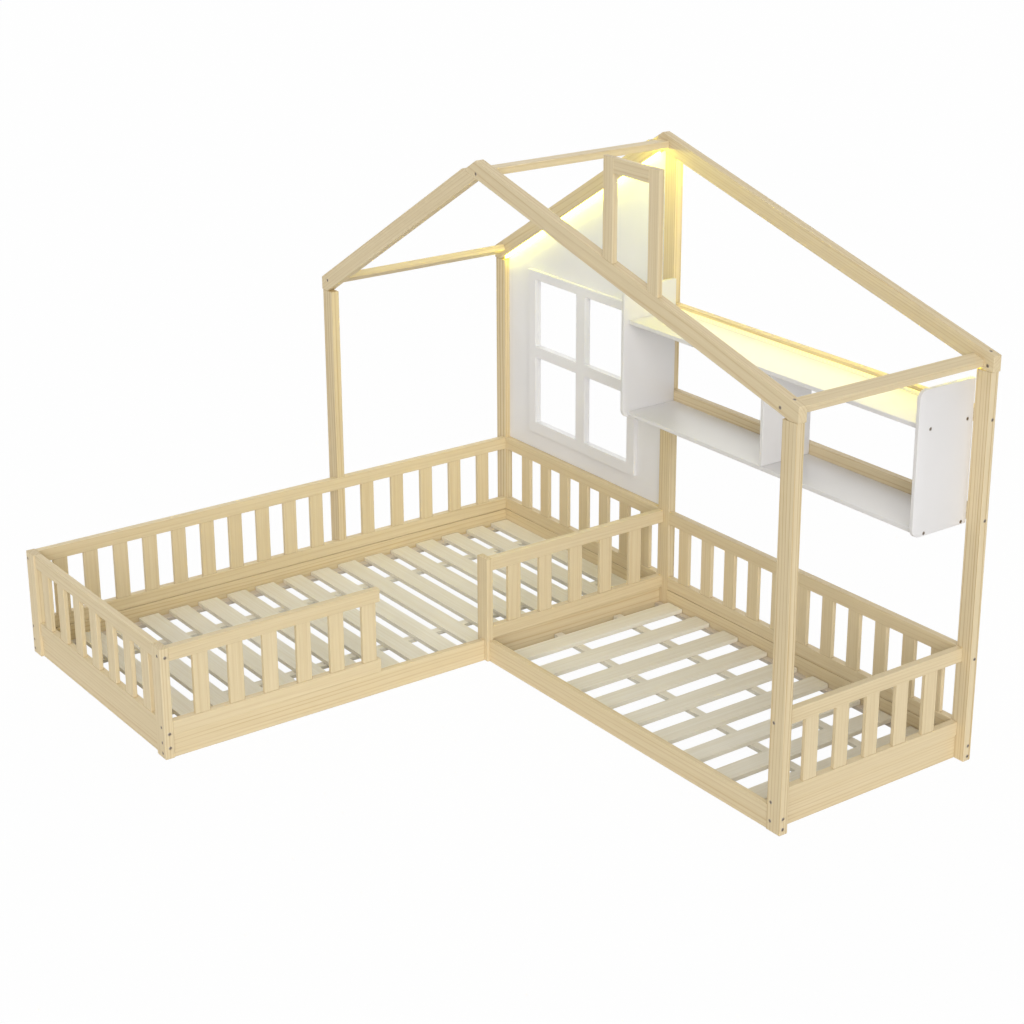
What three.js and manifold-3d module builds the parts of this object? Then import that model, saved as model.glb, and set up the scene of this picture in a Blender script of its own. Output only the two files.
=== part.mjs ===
// A wooden house bed: a long side bed and a lower bed under an open pitched roof frame.
// Millimetres, Z up. X runs from the left posts to the right posts, Y from the front to the back.
// While the parts are laid out, x = 0 is the centreline of the left posts, y = 0 the back of the bed, z = 0 the floor.
import * as THREE from "three";
import { mergeVertices } from "three/addons/utils/BufferGeometryUtils.js";
import Module from "manifold-3d";

// Plan
const SIDE_BED_WIDTH = 1024; // outer width of the side bed
const SIDE_BED_LENGTH = 2090; // outer length of the side bed, front to back
const HOUSE_DEPTH = 827; // front to back over the roofed bed
const HOUSE_SPAN = 2520; // left post centreline to right post centreline
const MIDDLE_OFFSET = 7; // middle post centreline beyond the side bed's outer face
const ENTRY_WIDTH = 434; // opening in the side bed's right fence

// Timber sections
const POST_WIDTH = 60;
const POST_DEPTH = 32;
const RAIL_HEIGHT = 48;
const RAIL_THICKNESS = 25;
const BALUSTER_WIDTH = 54;
const BALUSTER_THICKNESS = 15;
const BALUSTER_SETBACK = 2; // baluster face behind the rail face
const BASE_HEIGHT = 80;
const BASE_THICKNESS = 20;
const BEAM_WIDTH = 48;
const BEAM_THICKNESS = 25;

// Fences
const FENCE_HEIGHT = 390;
const BASE_TO_RAIL = 2; // joint line between a base board and the rail over it
const FENCE_RECESS = 5; // front and end fence faces behind the post faces
const PITCH = 127.3; // baluster spacing of the front, entry and end fences
const BACK_PITCH = 126;
const CLOSE_PITCH = 117.1; // front half of the long left fence
const WIDE_PITCH = 136.8; // back half of the long left fence and the divider
const FRONT_LEAD = 44; // first baluster from the start of each fence
const LEFT_LEAD = 55;
const LEFT_BACK_LEAD = 77;
const ENTRY_LEAD = 84;
const DIVIDER_LEAD = 72;
const END_LEAD = 93.5;
const BACK_LEAD = 107;
const HOUSE_BACK_LEAD = 59;
const STILE_DEPTH = 25; // short post where the entry ends
const STILE_PROUD = 5; // that post beyond the divider's face
const STILE_STEP = 4; // that post's back before the back of the lower bed's front board
const BOARD_INSET = 3; // lower bed's front board behind the front posts' face

// Slat decks
const SLAT_WIDTH = 78.5;
const SLAT_THICKNESS = 16;
const DECK_LIFT = 6; // ledges and long supports above the floor
const BATTEN_HEIGHT = 14; // ledges and long supports
const BATTEN_WIDTH = 32;
const SIDE_LEDGE_WIDTH = 35;
const HOUSE_LEDGE_WIDTH = 24;
const DECK_CLEARANCE = 3; // deck to the boards and posts round it
const SIDE_SLAT_PITCH = 121.6;
const SIDE_FIRST_SLAT = 1; // first slat from the corner posts
const HOUSE_SLAT_PITCH = 155.4;
const HOUSE_FIRST_SLAT = 57; // first slat from the divider board
const SIDE_BATTEN_IN = 206; // long supports: centreline from the left fence
const SIDE_BATTEN_SPACING = 504;
const HOUSE_BATTEN_IN = 207; // long supports: centreline from the back fence
const HOUSE_BATTEN_SPACING = 273;

// Roof
const LEFT_SLOPE = 31.5; // degrees
const RIGHT_SLOPE = 15.2;
const LEFT_POST_HEIGHT = 1129;
const RIGHT_POST_HEIGHT = 1312;
const RAFTER_DEPTH = 60; // measured square to the slope
const EAVE_OVERHANG = 6; // rafter ends beyond the posts
const APEX_STEP = 9.4; // upper end of the long rafter below the short rafter's top line
const RIDGE_DROP = 29; // ridge beam below the apex
const LEFT_BEAM_LIFT = 19; // eave beams above the rafters' underside
const RIGHT_BEAM_LIFT = 7;

// Chimney frame on the front gable
const CHIMNEY_START = 1660;
const CHIMNEY_WIDTH = 267;
const CHIMNEY_TOP = 1925;
const CHIMNEY_STRIP = 48;
const CHIMNEY_DEPTH = 20;

// Window wall between the two left back posts
const WALL_THICKNESS = 12;
const FRAME_THICKNESS = 15;
const WINDOW_START = 151; // frame's left edge from the post
const WINDOW_SILL = 465;
const PANE_WIDTH = 260;
const PANE_HEIGHT = 269;
const FRAME_BORDER = 45;
const FRAME_TOP = 36;
const MULLION_WIDTH = 54;
const TRANSOM_HEIGHT = 44;

// Shelf between the back posts
const SHELF_BOARD = 15;
const SHELF_SIDE_DEPTH = 236;
const SHELF_DEPTH = 214;
const SHELF_DROP = 28; // tops of the side boards below the tops of the right posts
const SHELF_CLEAR_HEIGHT = 323; // between the bottom and top boards
const SIDE_BELOW = 7; // side boards below the bottom board
const SIDE_ABOVE = 116; // side boards above the top board
const SIDE_RADIUS = 30;
const DIVIDER_SHARE = 0.5; // place of the upright between the side boards
const LOWER_RAIL_LIFT = 5; // back rails against the shelf boards
const UPPER_RAIL_LIFT = 22;

// Light strips
const STRIP = 10;
const STRIP_START = 2; // roof strip from the left post
const STRIP_END = 20; // roof strip before the peak

const GAP = 0.3; // clearance at every end joint
const BITE = 1; // how far the boards of one glued solid reach into each other
const CUT = 5; // how far a cutter reaches past the faces that it cuts
const PINE = "#d8c49a";
const SLAT_WOOD = "#d2c6ab";
const WHITE = "#dcd9d6";
const WARM_LIGHT = "#fff3cf";

const wasm = await Module();
wasm.setup();

const LEFT_FACE = POST_WIDTH / 2;
const MIDDLE = SIDE_BED_WIDTH + MIDDLE_OFFSET;
const MIDDLE_LEFT = MIDDLE - POST_WIDTH / 2;
const MIDDLE_RIGHT = MIDDLE + POST_WIDTH / 2;
const RIGHT_FACE = HOUSE_SPAN - POST_WIDTH / 2;
const RIGHT_OUTER = HOUSE_SPAN + POST_WIDTH / 2;
const FRONT = -SIDE_BED_LENGTH;
const CORNER_BACK = FRONT + POST_DEPTH;
const GABLE_FRONT = -HOUSE_DEPTH;
const GABLE_INNER = GABLE_FRONT + POST_DEPTH;
const BACK_FACE = -POST_DEPTH;
const RAIL_BOTTOM = BASE_HEIGHT + BASE_TO_RAIL;
const RAIL_TOP = RAIL_BOTTOM + RAIL_HEIGHT;
const HEAD_BOTTOM = FENCE_HEIGHT - RAIL_HEIGHT;
const ENTRY_INNER = SIDE_BED_WIDTH - RAIL_THICKNESS;
const BOARD_FRONT = GABLE_FRONT + BOARD_INSET;
const BOARD_BACK = BOARD_FRONT + BASE_THICKNESS;
const STILE_BACK = BOARD_BACK - STILE_STEP;
const STILE_FRONT = STILE_BACK - STILE_DEPTH;
const STILE_RIGHT = MIDDLE + STILE_PROUD;
const STILE_LEFT = STILE_RIGHT - POST_WIDTH;
const BATTEN_TOP = DECK_LIFT + BATTEN_HEIGHT;
const SLAT_TOP = BATTEN_TOP + SLAT_THICKNESS;
const SIDE_BOARD_TOP = RIGHT_POST_HEIGHT - SHELF_DROP;
const SHELF_BOTTOM = SIDE_BOARD_TOP - SIDE_ABOVE - 2 * SHELF_BOARD - SHELF_CLEAR_HEIGHT;

const LEFT_RISE = Math.tan(THREE.MathUtils.degToRad(LEFT_SLOPE));
const RIGHT_RISE = Math.tan(THREE.MathUtils.degToRad(RIGHT_SLOPE));
const LEFT_DROP = RAFTER_DEPTH / Math.cos(THREE.MathUtils.degToRad(LEFT_SLOPE));
const RIGHT_DROP = RAFTER_DEPTH / Math.cos(THREE.MathUtils.degToRad(RIGHT_SLOPE));

// Undersides of the two roof slopes; both pass over the post centrelines at the posts' heights.
const shortUnder = (x) => LEFT_POST_HEIGHT + LEFT_RISE * x;
const longUnder = (x) => RIGHT_POST_HEIGHT + RIGHT_RISE * (HOUSE_SPAN - x);

// x where the short slope, raised by lift, meets the long slope, raised by longLift
function meet(lift, longLift) {
  const rise = RIGHT_POST_HEIGHT + RIGHT_RISE * HOUSE_SPAN + longLift - LEFT_POST_HEIGHT - lift;
  return rise / (LEFT_RISE + RIGHT_RISE);
}

// Corners along the roof's underside from x1 back to x0, lowered by drop; the peak counts where it lies between.
function underRoof(x0, x1, drop) {
  const peak = meet(0, 0);
  const stops = peak > x0 && peak < x1 ? [x1, peak, x0] : [x1, x0];
  return stops.map((x) => [x, Math.min(shortUnder(x), longUnder(x)) - drop]);
}

function geometryOf(body) {
  const mesh = body.getMesh();
  const geometry = new THREE.BufferGeometry();
  geometry.setAttribute("position", new THREE.BufferAttribute(new Float32Array(mesh.vertProperties), 3));
  geometry.setIndex(new THREE.BufferAttribute(new Uint32Array(mesh.triVerts), 1));
  const flat = geometry.toNonIndexed();
  flat.computeVertexNormals();
  return flat;
}

function solidOf(geometry) {
  const bare = geometry.clone();
  bare.deleteAttribute("normal");
  bare.deleteAttribute("uv");
  const merged = mergeVertices(bare, 1e-4);
  const vertProperties = new Float32Array(merged.attributes.position.array);
  const triVerts = new Uint32Array(merged.index.array);
  return new wasm.Manifold(new wasm.Mesh({ numProp: 3, vertProperties, triVerts }));
}

function joined(pieces) {
  let body = solidOf(pieces[0]);
  for (const piece of pieces.slice(1)) {
    body = body.add(solidOf(piece));
  }
  return geometryOf(body);
}

function box(x0, x1, y0, y1, z0, z1) {
  const geometry = new THREE.BoxGeometry(x1 - x0, y1 - y0, z1 - z0);
  return geometry.translate((x0 + x1) / 2, (y0 + y1) / 2, (z0 + z1) / 2);
}

// A flat outline in the X-Z plane, carried from the front plane y0 back to y1
function upright(shape, y0, y1) {
  const geometry = new THREE.ExtrudeGeometry(shape, { depth: y1 - y0, bevelEnabled: false, curveSegments: 10 });
  return geometry.rotateX(Math.PI / 2).translate(0, y1, 0);
}

function outline(corners) {
  return new THREE.Shape(corners.map(([x, z]) => new THREE.Vector2(x, z)));
}

function material(color, roughness) {
  return new THREE.MeshStandardMaterial({ color, roughness, metalness: 0 });
}

function part(name, geometry, color = PINE, roughness = 0.6) {
  const mesh = new THREE.Mesh(geometry, material(color, roughness));
  mesh.name = name;
  return mesh;
}

// Baluster starts in one bay, as many as fit at the given spacing
function barStarts(bay) {
  const room = bay.end - bay.start - bay.lead - BALUSTER_WIDTH;
  const count = Math.floor(room / bay.pitch) + 1;
  return Array.from({ length: count }, (_, i) => bay.start + bay.lead + i * bay.pitch);
}

// A glued fence panel along X with its face at y = 0 and its back towards +Y
function fenceGeometry(length, bays) {
  const pieces = [
    box(GAP, length - GAP, 0, RAIL_THICKNESS, RAIL_BOTTOM, RAIL_TOP),
    box(GAP, length - GAP, 0, RAIL_THICKNESS, HEAD_BOTTOM, FENCE_HEIGHT),
  ];
  const back = BALUSTER_SETBACK + BALUSTER_THICKNESS;
  for (const start of bays.flatMap(barStarts)) {
    pieces.push(box(start, start + BALUSTER_WIDTH, BALUSTER_SETBACK, back, RAIL_TOP - BITE, HEAD_BOTTOM + BITE));
  }
  return joined(pieces);
}

function simpleBay(length, lead, pitch) {
  return [{ start: 0, end: length, lead, pitch }];
}

// Fence running along X, seen from the front
function fenceAcross(name, x0, x1, face, lead, pitch) {
  const length = x1 - x0;
  const mesh = part(name, fenceGeometry(length, simpleBay(length, lead, pitch)));
  mesh.position.set(x0, face, 0);
  return mesh;
}

// Fence running along Y, seen from the right
function fenceAlong(name, y0, y1, face, bays) {
  const mesh = part(name, fenceGeometry(y1 - y0, bays));
  mesh.rotation.z = Math.PI / 2;
  mesh.position.set(face, y0, 0);
  return mesh;
}

function leftBays() {
  const postStart = GABLE_FRONT - CORNER_BACK;
  const length = BACK_FACE - CORNER_BACK;
  return [
    { start: 0, end: postStart, lead: LEFT_LEAD, pitch: CLOSE_PITCH },
    { start: postStart + POST_DEPTH, end: length, lead: LEFT_BACK_LEAD, pitch: WIDE_PITCH },
  ];
}

function fences() {
  const entryEnd = STILE_FRONT - ENTRY_WIDTH;
  const entryBay = simpleBay(entryEnd - CORNER_BACK, ENTRY_LEAD, PITCH);
  const dividerBay = simpleBay(BACK_FACE - STILE_BACK, DIVIDER_LEAD, WIDE_PITCH);
  const endBay = simpleBay(BACK_FACE - GABLE_INNER, END_LEAD, PITCH);
  const frontEnd = SIDE_BED_WIDTH - POST_WIDTH;
  return [
    fenceAlong("fence_left", CORNER_BACK, BACK_FACE, LEFT_FACE, leftBays()),
    fenceAcross("fence_front", POST_WIDTH, frontEnd, FRONT + FENCE_RECESS, FRONT_LEAD, PITCH),
    fenceAlong("fence_entry", CORNER_BACK, entryEnd, SIDE_BED_WIDTH, entryBay),
    fenceAlong("fence_divider", STILE_BACK, BACK_FACE, MIDDLE, dividerBay),
    fenceAcross("fence_back_side_bed", LEFT_FACE, MIDDLE_LEFT, BACK_FACE, BACK_LEAD, BACK_PITCH),
    fenceAcross("fence_back_house_bed", MIDDLE_RIGHT, RIGHT_FACE, BACK_FACE, HOUSE_BACK_LEAD, BACK_PITCH),
    fenceAlong("fence_end", GABLE_INNER, BACK_FACE, RIGHT_FACE + RAIL_THICKNESS, endBay),
  ];
}

function boardAcross(name, x0, x1, y0) {
  return part(name, box(x0 + GAP, x1 - GAP, y0, y0 + BASE_THICKNESS, 0, BASE_HEIGHT));
}

function boardAlong(name, y0, y1, x0) {
  return part(name, box(x0, x0 + BASE_THICKNESS, y0 + GAP, y1 - GAP, 0, BASE_HEIGHT));
}

function baseBoards() {
  const frontInner = FRONT + FENCE_RECESS + RAIL_THICKNESS;
  return [
    boardAlong("base_left", CORNER_BACK, BACK_FACE, LEFT_FACE - BASE_THICKNESS),
    boardAcross("base_front", POST_WIDTH, SIDE_BED_WIDTH - POST_WIDTH, frontInner - BASE_THICKNESS),
    boardAlong("base_entry", CORNER_BACK, STILE_FRONT, ENTRY_INNER),
    boardAlong("base_divider", STILE_BACK, BACK_FACE, ENTRY_INNER),
    boardAcross("base_back_side_bed", LEFT_FACE, MIDDLE_LEFT, BACK_FACE),
    boardAcross("base_back_house_bed", MIDDLE_RIGHT, RIGHT_FACE, BACK_FACE),
    boardAlong("base_end", GABLE_INNER, BACK_FACE, RIGHT_FACE),
    boardAcross("base_front_house_bed", STILE_RIGHT, RIGHT_FACE, BOARD_FRONT),
  ];
}

function post(name, x0, y0, height) {
  return part(name, box(x0, x0 + POST_WIDTH, y0, y0 + POST_DEPTH, 0, height));
}

// The front left post is housed round the left fence, which runs on through it.
function housedPost() {
  const housing = LEFT_FACE - RAIL_THICKNESS - GAP;
  const shape = outline([
    [-LEFT_FACE, 0],
    [housing, 0],
    [housing, RAIL_TOP + GAP],
    [LEFT_FACE, RAIL_TOP + GAP],
    [LEFT_FACE, HEAD_BOTTOM - GAP],
    [housing, HEAD_BOTTOM - GAP],
    [housing, FENCE_HEIGHT + GAP],
    [LEFT_FACE, FENCE_HEIGHT + GAP],
    [LEFT_FACE, LEFT_POST_HEIGHT],
    [-LEFT_FACE, LEFT_POST_HEIGHT],
  ]);
  return part("post_front_left", upright(shape, GABLE_FRONT, GABLE_INNER));
}

function middlePost() {
  const shape = outline([
    [MIDDLE_LEFT, 0],
    [MIDDLE_RIGHT, 0],
    ...underRoof(MIDDLE_LEFT, MIDDLE_RIGHT, GAP),
  ]);
  return part("post_back_middle", upright(shape, BACK_FACE, 0));
}

function posts() {
  const stile = box(STILE_LEFT, STILE_RIGHT, STILE_FRONT, STILE_BACK, 0, FENCE_HEIGHT);
  return [
    housedPost(),
    middlePost(),
    post("post_back_left", -LEFT_FACE, BACK_FACE, LEFT_POST_HEIGHT),
    post("post_front_right", RIGHT_FACE, GABLE_FRONT, RIGHT_POST_HEIGHT),
    post("post_back_right", RIGHT_FACE, BACK_FACE, RIGHT_POST_HEIGHT),
    post("post_corner_left", 0, FRONT, FENCE_HEIGHT),
    post("post_corner_right", SIDE_BED_WIDTH - POST_WIDTH, FRONT, FENCE_HEIGHT),
    part("post_entry", stile),
  ];
}

// Short rafter: seat cut over the post, upper end cut along the long rafter's underside
function shortRafterShape() {
  const end = -LEFT_FACE - EAVE_OVERHANG;
  const upper = meet(LEFT_DROP, -GAP);
  const lower = meet(0, -GAP);
  return outline([
    [end, LEFT_POST_HEIGHT + GAP],
    [GAP / LEFT_RISE, LEFT_POST_HEIGHT + GAP],
    [lower, shortUnder(lower)],
    [upper, shortUnder(upper) + LEFT_DROP],
    [end, shortUnder(end) + LEFT_DROP],
  ]);
}

// Long rafter: upper end cut parallel to the short slope, seat cut over the right post
function longRafterShape() {
  const end = RIGHT_OUTER + EAVE_OVERHANG;
  const lower = meet(LEFT_DROP - APEX_STEP, 0);
  const upper = meet(LEFT_DROP - APEX_STEP, RIGHT_DROP);
  return outline([
    [lower, longUnder(lower)],
    [HOUSE_SPAN - GAP / RIGHT_RISE, RIGHT_POST_HEIGHT + GAP],
    [end, RIGHT_POST_HEIGHT + GAP],
    [end, longUnder(end) + RIGHT_DROP],
    [upper, longUnder(upper) + RIGHT_DROP],
  ]);
}

// A beam tilted to its slope, set between the gables; x and z name the middle of its underside
function tiltedBeam(name, x, z, slope) {
  const length = HOUSE_DEPTH - 2 * POST_DEPTH - 2 * GAP;
  const beam = new THREE.BoxGeometry(BEAM_WIDTH, length, BEAM_THICKNESS).translate(0, 0, BEAM_THICKNESS / 2);
  const mesh = part(name, beam);
  mesh.position.set(x, (GABLE_INNER + BACK_FACE) / 2, z);
  mesh.rotation.y = THREE.MathUtils.degToRad(slope);
  return mesh;
}

function roof() {
  const gables = [["front", GABLE_FRONT, GABLE_INNER], ["back", BACK_FACE, 0]];
  const rafters = gables.flatMap(([side, y0, y1]) => [
    part(`rafter_short_${side}`, upright(shortRafterShape(), y0, y1)),
    part(`rafter_long_${side}`, upright(longRafterShape(), y0, y1)),
  ]);
  const apex = meet(LEFT_DROP, RIGHT_DROP);
  const apexHeight = shortUnder(apex) + LEFT_DROP;
  const leftX = LEFT_FACE / 2;
  const leftLift = LEFT_BEAM_LIFT * LEFT_DROP / RAFTER_DEPTH;
  const rightLift = RIGHT_BEAM_LIFT * RIGHT_DROP / RAFTER_DEPTH;
  const ridgeZ = apexHeight - RIDGE_DROP - BEAM_THICKNESS;
  return [
    ...rafters,
    tiltedBeam("beam_ridge", apex + BEAM_WIDTH / 2, ridgeZ, 0),
    tiltedBeam("beam_eave_left", leftX, shortUnder(leftX) + leftLift, -LEFT_SLOPE),
    tiltedBeam("beam_eave_right", RIGHT_FACE, longUnder(RIGHT_FACE) + rightLift, RIGHT_SLOPE),
  ];
}

function chimneyUpright(name, x0) {
  const x1 = x0 + CHIMNEY_STRIP;
  const foot = (x) => longUnder(x) + RIGHT_DROP + GAP;
  const shape = outline([[x0, foot(x0)], [x1, foot(x1)], [x1, CHIMNEY_TOP], [x0, CHIMNEY_TOP]]);
  return part(name, upright(shape, GABLE_FRONT, GABLE_FRONT + CHIMNEY_DEPTH));
}

function chimney() {
  const x0 = CHIMNEY_START + CHIMNEY_STRIP + GAP;
  const x1 = CHIMNEY_START + CHIMNEY_WIDTH - CHIMNEY_STRIP - GAP;
  const y1 = GABLE_FRONT + CHIMNEY_DEPTH;
  return [
    chimneyUpright("chimney_left", CHIMNEY_START),
    chimneyUpright("chimney_right", CHIMNEY_START + CHIMNEY_WIDTH - CHIMNEY_STRIP),
    part("chimney_head", box(x0, x1, GABLE_FRONT, y1, CHIMNEY_TOP - CHIMNEY_STRIP, CHIMNEY_TOP)),
  ];
}

// The side bed's right ledge steps round the entry post.
function notchedLedge() {
  const x0 = ENTRY_INNER - SIDE_LEDGE_WIDTH;
  const notch = STILE_LEFT - GAP;
  const inner = ENTRY_INNER - GAP;
  const shape = outline([
    [x0, CORNER_BACK + GAP],
    [inner, CORNER_BACK + GAP],
    [inner, STILE_FRONT - GAP],
    [notch, STILE_FRONT - GAP],
    [notch, STILE_BACK + GAP],
    [inner, STILE_BACK + GAP],
    [inner, BACK_FACE - GAP],
    [x0, BACK_FACE - GAP],
  ]);
  return new THREE.ExtrudeGeometry(shape, { depth: BATTEN_HEIGHT, bevelEnabled: false }).translate(0, 0, DECK_LIFT);
}

function ledges() {
  const leftX = LEFT_FACE + GAP;
  const houseX = ENTRY_INNER + BASE_THICKNESS + GAP;
  const side = box(leftX, leftX + SIDE_LEDGE_WIDTH, CORNER_BACK + GAP, BACK_FACE - GAP, DECK_LIFT, BATTEN_TOP);
  const frontY = BOARD_BACK + GAP;
  const front = box(houseX, RIGHT_FACE - GAP, frontY, frontY + HOUSE_LEDGE_WIDTH, DECK_LIFT, BATTEN_TOP);
  const backY = BACK_FACE - GAP;
  const back = box(houseX, RIGHT_FACE - GAP, backY - HOUSE_LEDGE_WIDTH, backY, DECK_LIFT, BATTEN_TOP);
  return [
    part("ledge_side_bed_left", side, SLAT_WOOD, 0.7),
    part("ledge_side_bed_right", notchedLedge(), SLAT_WOOD, 0.7),
    part("ledge_house_bed_front", front, SLAT_WOOD, 0.7),
    part("ledge_house_bed_back", back, SLAT_WOOD, 0.7),
  ];
}

function slatStarts(first, end, pitch) {
  const count = Math.floor((end - first - SLAT_WIDTH) / pitch) + 1;
  return Array.from({ length: count }, (_, i) => first + i * pitch);
}

// Slats of the side bed run across it on two long supports.
function sideDeck() {
  const y0 = CORNER_BACK + DECK_CLEARANCE;
  const y1 = BACK_FACE - DECK_CLEARANCE;
  const pieces = [0, 1].map((i) => {
    const x = LEFT_FACE + SIDE_BATTEN_IN + i * SIDE_BATTEN_SPACING;
    return box(x - BATTEN_WIDTH / 2, x + BATTEN_WIDTH / 2, y0, y1, DECK_LIFT, BATTEN_TOP + BITE);
  });
  const x0 = LEFT_FACE + DECK_CLEARANCE;
  const x1 = STILE_LEFT - DECK_CLEARANCE;
  for (const y of slatStarts(CORNER_BACK + SIDE_FIRST_SLAT, BACK_FACE, SIDE_SLAT_PITCH)) {
    pieces.push(box(x0, x1, y, y + SLAT_WIDTH, BATTEN_TOP + GAP, SLAT_TOP));
  }
  return joined(pieces);
}

// Slats of the lower bed run front to back on two supports along the bed.
function houseDeck() {
  const boardFace = ENTRY_INNER + BASE_THICKNESS;
  const x0 = boardFace + DECK_CLEARANCE;
  const x1 = RIGHT_FACE - DECK_CLEARANCE;
  const pieces = [0, 1].map((i) => {
    const y = BACK_FACE - HOUSE_BATTEN_IN - i * HOUSE_BATTEN_SPACING;
    return box(x0, x1, y - BATTEN_WIDTH / 2, y + BATTEN_WIDTH / 2, DECK_LIFT, BATTEN_TOP + BITE);
  });
  const y0 = BOARD_BACK + DECK_CLEARANCE;
  const y1 = BACK_FACE - DECK_CLEARANCE;
  for (const x of slatStarts(boardFace + HOUSE_FIRST_SLAT, RIGHT_FACE, HOUSE_SLAT_PITCH)) {
    pieces.push(box(x, x + SLAT_WIDTH, y0, y1, BATTEN_TOP + GAP, SLAT_TOP));
  }
  return joined(pieces);
}

function decks() {
  return [
    part("slats_side_bed", sideDeck(), SLAT_WOOD, 0.7),
    part("slats_house_bed", houseDeck(), SLAT_WOOD, 0.7),
  ];
}

function paneOpenings() {
  const left = LEFT_FACE + WINDOW_START + FRAME_BORDER;
  const bottom = WINDOW_SILL + FRAME_BORDER;
  const places = [0, 1].flatMap((i) => [0, 1].map((j) => [i, j]));
  return places.map(([i, j]) => {
    const x = left + i * (PANE_WIDTH + MULLION_WIDTH);
    const z = bottom + j * (PANE_HEIGHT + TRANSOM_HEIGHT);
    return box(x, x + PANE_WIDTH, -WALL_THICKNESS - FRAME_THICKNESS - CUT, CUT, z, z + PANE_HEIGHT);
  });
}

function withPanes(geometry) {
  let body = solidOf(geometry);
  for (const opening of paneOpenings()) {
    body = body.subtract(solidOf(opening));
  }
  return geometryOf(body);
}

function windowWall() {
  const left = LEFT_FACE + GAP;
  const right = MIDDLE_LEFT - GAP;
  const foot = FENCE_HEIGHT + GAP;
  const wall = outline([[left, foot], [right, foot], ...underRoof(left, right, 2 * GAP)]);
  const x0 = LEFT_FACE + WINDOW_START;
  const x1 = x0 + 2 * FRAME_BORDER + 2 * PANE_WIDTH + MULLION_WIDTH;
  const z1 = WINDOW_SILL + FRAME_BORDER + 2 * PANE_HEIGHT + TRANSOM_HEIGHT + FRAME_TOP;
  const wallFace = -WALL_THICKNESS;
  const frame = box(x0, x1, wallFace - FRAME_THICKNESS, wallFace, WINDOW_SILL, z1);
  return [
    part("window_wall", withPanes(upright(wall, wallFace, 0)), WHITE, 0.5),
    part("window_frame", withPanes(frame), WHITE, 0.5),
  ];
}

// Side board outline in the Y-Z plane with its two front corners rounded, drawn with the front at u = 0
function sideBoard(name, x0) {
  const z0 = SHELF_BOTTOM - SIDE_BELOW;
  const z1 = SIDE_BOARD_TOP;
  const r = SIDE_RADIUS;
  const shape = new THREE.Shape();
  shape.moveTo(SHELF_SIDE_DEPTH, z0);
  shape.lineTo(SHELF_SIDE_DEPTH, z1);
  shape.lineTo(r, z1);
  shape.absarc(r, z1 - r, r, Math.PI / 2, Math.PI, false);
  shape.lineTo(0, z0 + r);
  shape.absarc(r, z0 + r, r, Math.PI, 1.5 * Math.PI, false);
  shape.closePath();
  const board = upright(shape, -SHELF_BOARD, 0).rotateZ(Math.PI / 2);
  return part(name, board.translate(x0, BACK_FACE - GAP - SHELF_SIDE_DEPTH, 0), WHITE, 0.5);
}

function shelf() {
  const x0 = MIDDLE_RIGHT + SHELF_BOARD + 2 * GAP;
  const x1 = RIGHT_FACE - SHELF_BOARD - 2 * GAP;
  const y0 = BACK_FACE - SHELF_DEPTH;
  const y1 = BACK_FACE - GAP;
  const low = SHELF_BOTTOM + SHELF_BOARD;
  const high = low + SHELF_CLEAR_HEIGHT;
  const dividerX = x0 + (x1 - x0 - SHELF_BOARD) * DIVIDER_SHARE;
  const lowerRail = box(MIDDLE_RIGHT + GAP, RIGHT_FACE - GAP, BACK_FACE, BACK_FACE + RAIL_THICKNESS,
    SHELF_BOTTOM + LOWER_RAIL_LIFT, SHELF_BOTTOM + LOWER_RAIL_LIFT + RAIL_HEIGHT);
  const upperTop = high + SHELF_BOARD + UPPER_RAIL_LIFT;
  const upperRail = box(MIDDLE_RIGHT + GAP, RIGHT_FACE - GAP, BACK_FACE, BACK_FACE + RAIL_THICKNESS,
    upperTop - RAIL_HEIGHT, upperTop);
  const divider = box(dividerX, dividerX + SHELF_BOARD, y0, y1, low + GAP, high - GAP);
  return [
    sideBoard("shelf_side_left", MIDDLE_RIGHT + GAP),
    sideBoard("shelf_side_right", RIGHT_FACE - SHELF_BOARD - GAP),
    part("shelf_bottom", box(x0, x1, y0, y1, SHELF_BOTTOM, low), WHITE, 0.5),
    part("shelf_top", box(x0, x1, y0, y1, high, high + SHELF_BOARD), WHITE, 0.5),
    part("shelf_divider", divider, WHITE, 0.5),
    part("shelf_rail_lower", lowerRail),
    part("shelf_rail_upper", upperRail),
  ];
}

function lights() {
  const x0 = LEFT_FACE + STRIP_START;
  const x1 = Math.min(meet(0, 0), MIDDLE_LEFT) - STRIP_END;
  const drop = STRIP * LEFT_DROP / RAFTER_DEPTH + GAP;
  const edge = (x, lower) => [x, shortUnder(x) - lower];
  const slope = outline([edge(x0, drop), edge(x1, drop), edge(x1, GAP), edge(x0, GAP)]);
  const shelfTop = SHELF_BOTTOM + 2 * SHELF_BOARD + SHELF_CLEAR_HEIGHT;
  const a = MIDDLE_RIGHT + SHELF_BOARD + 2 * GAP;
  const b = RIGHT_FACE - SHELF_BOARD - 2 * GAP;
  const y1 = BACK_FACE - GAP;
  return [
    part("light_strip_roof", upright(slope, BACK_FACE, BACK_FACE + STRIP), WARM_LIGHT, 0.4),
    part("light_strip_shelf", box(a, b, y1 - STRIP, y1, shelfTop + GAP, shelfTop + STRIP), WARM_LIGHT, 0.4),
  ];
}

const bed = new THREE.Group();
bed.name = "house_bed";
const pieces = [posts(), roof(), chimney(), fences(), baseBoards(), ledges(), decks(), windowWall(), shelf(), lights()];
bed.add(...pieces.flat());

// The finished bed stands on the floor with the middle of its outline over the origin.
const leftEnd = -LEFT_FACE - EAVE_OVERHANG;
const rightEnd = RIGHT_OUTER + EAVE_OVERHANG;
bed.position.set(-(leftEnd + rightEnd) / 2, SIDE_BED_LENGTH / 2, 0);

const assembly = new THREE.Group();
assembly.add(bed);
export default assembly;
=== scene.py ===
import math
import random

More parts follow.
